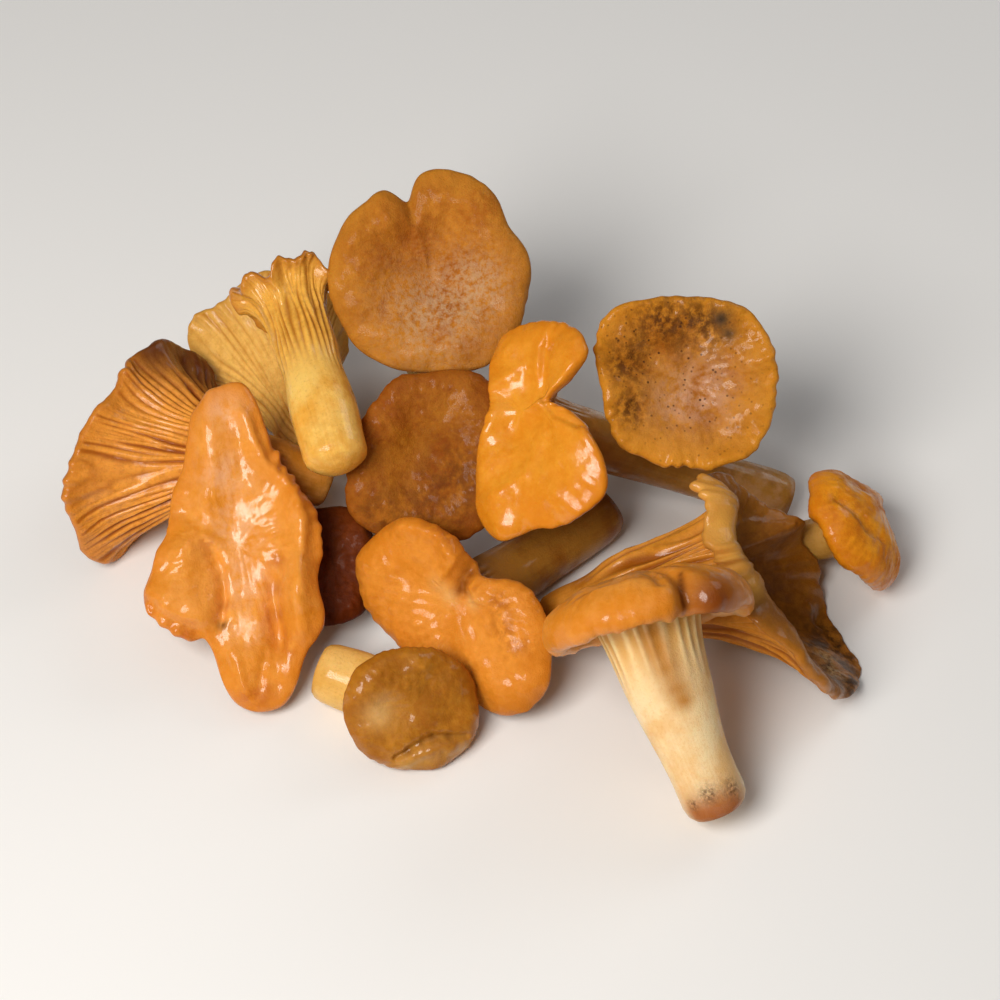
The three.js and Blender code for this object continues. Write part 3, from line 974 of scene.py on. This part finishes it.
# The rolled-rim mushroom, at the front, is thick in the flesh, with its margin rolled in all round.
# Its stout pale stem, bluntly ridged at the top, points at the viewer and is cut off dark.
rolled_rim = dict(
    at=[31.8, -34.9, 40.4],
    heading=108,
    tilt=57,
    seed=103,
    sides=448,
    rim=[11, 13, 17, 20.5, 21, 21, 20.5, 21, 20.5, 19, 16, 12],
    lift=[-8, -8, -8.5, -8.5, -8, -8.5, -8, -9, -10, -10, -9, -8],
    roll=[-100],
    notches=[{"at": 192, "width": 7, "depth": 4}],
    dish=-1.5,
    flesh=8.5,
    edge=4.8,
    foot=[8.2, -6, -49.8],
    stem=[7, 7.2, 11.4],
    flare=0.6,
    bare=0.55,
    ridges=22,
    ridge_depth=0.5,
    lumps=0.12,
    folds=[(-1.3, 1.3, 1.3, [(-20, 0.5), (-13, 0)]), (0.7, 2.5, 2.5, [(-19, 6), (-14, 12)])],
    marks={
        "streak": [
            (-10, 2.7, -12, 2.6), (-9.3, 2, -15.5, 3), (-8.7, 1, -19.5, 3.2), (-7.8, 0, -24, 3),
            (-7, -1, -27, 2),
        ],
        "lobe": [(-21, -10, -9, 7.5)],
        # Painted shade in the slit between the two lobes of the cap.
        "slit_shade": [
            (-16.6, -5, -2, 0.8), (-17.2, -4.6, -3.2, 0.9), (-17.7, -4.3, -4.3, 1), (-18.3, -3.9, -5.4, 1),
            (-18.8, -3.5, -6.5, 1.1), (-19.2, -3.2, -7.6, 1.1), (-18.8, -3.5, -8.5, 1.2),
        ],
        "cut": [(2, -3.6, -51.4, 4.8), (3.6, 0, -51, 3.8), (2, -7.5, -50.3, 4.6)],
        "soil": [(0.2, -2.6, -46.8, 1.8), (3, 0.6, -48.4, 1.2), (0.8, -7.6, -46.8, 1.9)],
    },
)
rolled_rim_skin = flesh(
    "rolled_rim_flesh",
    cap=("#dc8620", "#ee9e42", "#d07a18"),
    gills=("#dca654", "#f8dca0"),
    stem=("#eec080", "#fbdfac"),
    wet=0.7,
    stains=[
        ("streak", "#b4700e", 0.85, 0),
        ("lobe", "#6e2c02", 0.9, 0),
        # Painted shade in the slit.
        ("slit_shade", "#5a2404", 0.8, 0),
        ("cut", "#a4520a", 0.95, 0),
        ("soil", "#3a1606", 0.95, 1.3),
    ],
)
mushroom("mushroom_rolled_rim", rolled_rim, rolled_rim_skin)

# The folded trumpet, at the right, is a funnel of tough flesh, bent over on itself as it grew. It lies
# on its side, with its crinkled rim pale to the left and its far end dark with decay.
folded_trumpet = dict(
    at=[52.4, -17.5, 22.8],
    heading=14,
    tilt=80,
    seed=113,
    sides=448,
    rim=[26.5, 19.5, 12.5, 13.5, 19, 20.5, 17.5, 15.5, 19.7, 28.5, 32.5, 32],
    lift=[19, 19, 18, 12, 4, 0, -2, -2, 1, 7, 15, 20],
    roll=[40, 40, 40, 30, -20, -60, -75, -80, -60, -10, 30, 40],
    curl=[0.36, 0.36, 0.36, 0.36, 0.45, 0.6, 0.65, 0.7, 0.6, 0.4, 0.36, 0.36],
    frill={"waves": 7, "depth": 0.9},
    dish=2,
    flesh=18,
    edge=2.6,
    foot=[8, 5, -40],
    stem=[6, 7, 10.5],
    flare=0.35,
    bare=0.5,
    ridges=22,
    ragged=0.5,
    crinkle=[0.25, 0.25, 0.25, 0.3, 0.6, 1.0, 1.1, 1.0, 0.8, 0.5, 0.3, 0.25],
    crinkled_from=4,
    folds=[
        (1.0, 1, 2.5, [(-1, 9.6), (5, 8), (10.7, 5.5), (19.7, 1), (25, -6)]),
        (0.7, 1.2, 2, [(0, -5), (8, -12), (14, -20)]),
    ],
    marks={
        "rot": [(20, -15, 15, 7), (21, -23, 18, 8), (26, -10, 19, 8)],
        "frill": [(-19, 7, 0, 6), (-17, -2, 0, 5), (-14, -9, 0, 4), (-11, -15, 2, 3)],
        "crust": [(20.3, -15.8, 15.4, 2.4), (19, -21, 15.5, 2.2)],
    },
)
folded_trumpet_skin = flesh(
    "folded_trumpet_flesh",
    cap=("#7a430c", "#a8681c", "#b07020"),
    gills=("#96500a", "#d0882a"),
    stem=("#a86414", "#c88430"),
    wet=0.6,
    stains=[("rot", "#2a1406", 0.95, 0.3), ("frill", "#f0b050", 0.75, 0), ("crust", "#cfaa70", 0.8, 0.9)],
)
mushroom("mushroom_folded_trumpet", folded_trumpet, folded_trumpet_skin)

# The notched cap, in the front middle, is a broad orange cap of soft flesh, torn and split back to its
# stem. The stem runs back from there to the table, under the heap.
notched_cap = dict(
    at=[-7, -25, 20.2],
    heading=-118,
    tilt=48,
    seed=127,
    sides=320,
    rim=[17, 18.5, 23, 27, 25.5, 21.5, 18.5, 14.5, 8.5, 8, 9.5, 13.5, 17, 20.5, 22.5, 24, 22, 19, 16.5, 16],
    lift=[-4, -3, -2, -2, -2, -1, 0, 1, -1, -3, -4, -4],
    roll=[-55],
    dish=0,
    flesh=5,
    edge=2.6,
    foot=[-23.5, 12, -45.8],
    stem=[7, 7.5, 7],
    flare=0.3,
    bare=0.75,
    ridges=22,
    ragged=0.35,
    crinkle=0.2,
    lumps=0.12,
    folds=[
        (1.2, 2, 2, [(-12, -17), (-14, -12), (-13.5, -7), (-11, -4)]),
        (-2.2, 1.5, 1.5, [(-10, 1.5), (-5, 0.3), (-2.5, 0.8)]),
        (1.3, 0.8, 2.2, [(-10, -1.5), (-6.5, -2.8), (-3.5, -4.5)]),
        (1.3, 2.0, 0.8, [(-9.5, 4.5), (-5, 3), (-2.5, 4.5)]),
        (0.7, 2.5, 1.5, [(-2, -10), (6, -12), (12, -10)]),
        (-1.4, 2.8, 2.8, [(13, 8.8), (17, 11.8)]),
    ],
    marks={
        "bruise": [(-4, 10, 0, 2.5), (0, 13, 0, 3), (3, 17, 0, 3)],
        "torn": [(-3, -4.5, 0, 2), (-1.2, -1, 0, 1.8), (-2, 4, 0, 2), (-8, -3, 0, 1.6)],
        # Painted shade in the split, where the cap is torn back to the stem.
        "gap": [(-7.5, 1.5, 0, 2), (-5, 0.6, -1, 1.8), (-3, 0.6, -1, 1.3)],
        "scar": [(-15, -5, 2, 4), (-17, -9, 2, 3)],
        "low": [(18, 20, -3, 5), (13, 23, -2, 4)],
    },
)
notched_cap_skin = flesh(
    "notched_cap_flesh",
    cap=("#d8821e", "#ec9836", "#d47c18"),
    gills=("#8f5216", "#c98a3a"),
    stem=("#8a5010", "#ab7428"),
    wet=0.5,
    grain=0.5,
    stains=[
        ("low", "#b8660e", 0.6, 0),
        ("bruise", "#94480e", 0.9, 0.45),
        ("torn", "#eec078", 0.6, 0),
        # Painted shade in the split.
        ("gap", "#7c3e0c", 0.85, 0),
        ("scar", "#a4581c", 0.7, 0.5),
    ],
)
mushroom("mushroom_notched_cap", notched_cap, notched_cap_skin)

# The front button, the youngest, is a small firm cap with a dull skin and a small pale dent in it.
# A fold runs down its right side, and its yellow stem comes out to the left.
front_button = dict(
    at=[-15.4, -48.5, 14.5],
    heading=-70,
    tilt=48,
    seed=131,
    sides=288,
    rim=[14, 15, 15, 14, 13, 12, 11, 11, 12, 13, 13, 13, 13, 13],
    lift=[-5, -5, -5, -5, -4, -3, -3, -3, -3, -4, -5, -5],
    roll=[-75],
    dish=0,
    flesh=5,
    edge=3,
    foot=[-9, -14.5, -20],
    stem=[6.5, 6.5, 6.5],
    flare=0.3,
    bare=0.7,
    ridges=20,
    crinkle=0.12,
    lumps=0.12,
    dents=[{"at": [-1, -5], "size": [4, 3.5], "depth": 1.5}],
    folds=[
        (-1.3, 0.7, 0.7, [(10, -6), (8.2, -0.7), (7.7, 2.8), (9.7, 9.9)]),
        (1.2, 1.5, 1.5, [(12, -5), (10.6, -0.4), (10, 3.4), (11, 6)]),
    ],
    marks={
        "press": [(-0.6, -7.4, -1, 3.2)],
        "brown": [(-5, 4, 0, 8)],
        "fold": [(12, -4, -2, 2.4), (11, 0, -2, 2.4), (10.6, 4, -2, 2.4), (11.6, 8, -3, 2.4)],
        # A dark line of painted shade in the crease above the folded margin.
        "line": [(9.2, -3.4, -1, 1), (8.1, -0.5, -1, 1), (7.7, 2.5, -1, 1), (8.5, 6, -1, 1)],
    },
)
front_button_skin = flesh(
    "front_button_flesh",
    cap=("#9a5a10", "#bd7c20", "#ad6a14"),
    gills=("#b97c24", "#e6bf62"),
    stem=("#dca44a", "#ecbc68"),
    wet=0.7,
    stains=[
        ("brown", "#86500f", 0.5, 0.3),
        ("press", "#e4b470", 0.75, 0),
        ("fold", "#dcab58", 0.6, 0),
        # Painted shade in the crease.
        ("line", "#70400c", 0.7, 0),
    ],
)
mushroom("mushroom_front_button", front_button, front_button_skin)

# The under cap is a small, dry cap on a short stem, painted dark as the shade inside the heap. It
# stands on the table inside the heap, and shows only in the gap between the others at the middle left.
under_cap = dict(
    at=[-34, -9.5, 15.5],
    heading=-90,
    tilt=25,
    seed=139,
    sides=256,
    rim=[13, 12, 9, 8, 9, 12, 12, 12, 12, 11, 11.5, 13],
    lift=[-2, -3, -3, -2, -1, -2, -3, -3, -3, -3, -3, -3],
    roll=[-60],
    dish=0,
    flesh=4,
    edge=2.4,
    foot=[4, 0, -17],
    stem=[5, 5, 6],
    flare=0.3,
    bare=0.7,
    ridges=20,
)
under_cap_shaded_skin = flesh(
    "under_cap_shaded_flesh",
    # The cap's dark colours are painted shade.
    cap=("#5a2204", "#74340a", "#5a2204"),
    gills=("#8a4a12", "#c08030"),
    stem=("#a06a28", "#c09048"),
    wet=0.1,
)
mushroom("mushroom_under_cap", under_cap, under_cap_shaded_skin)
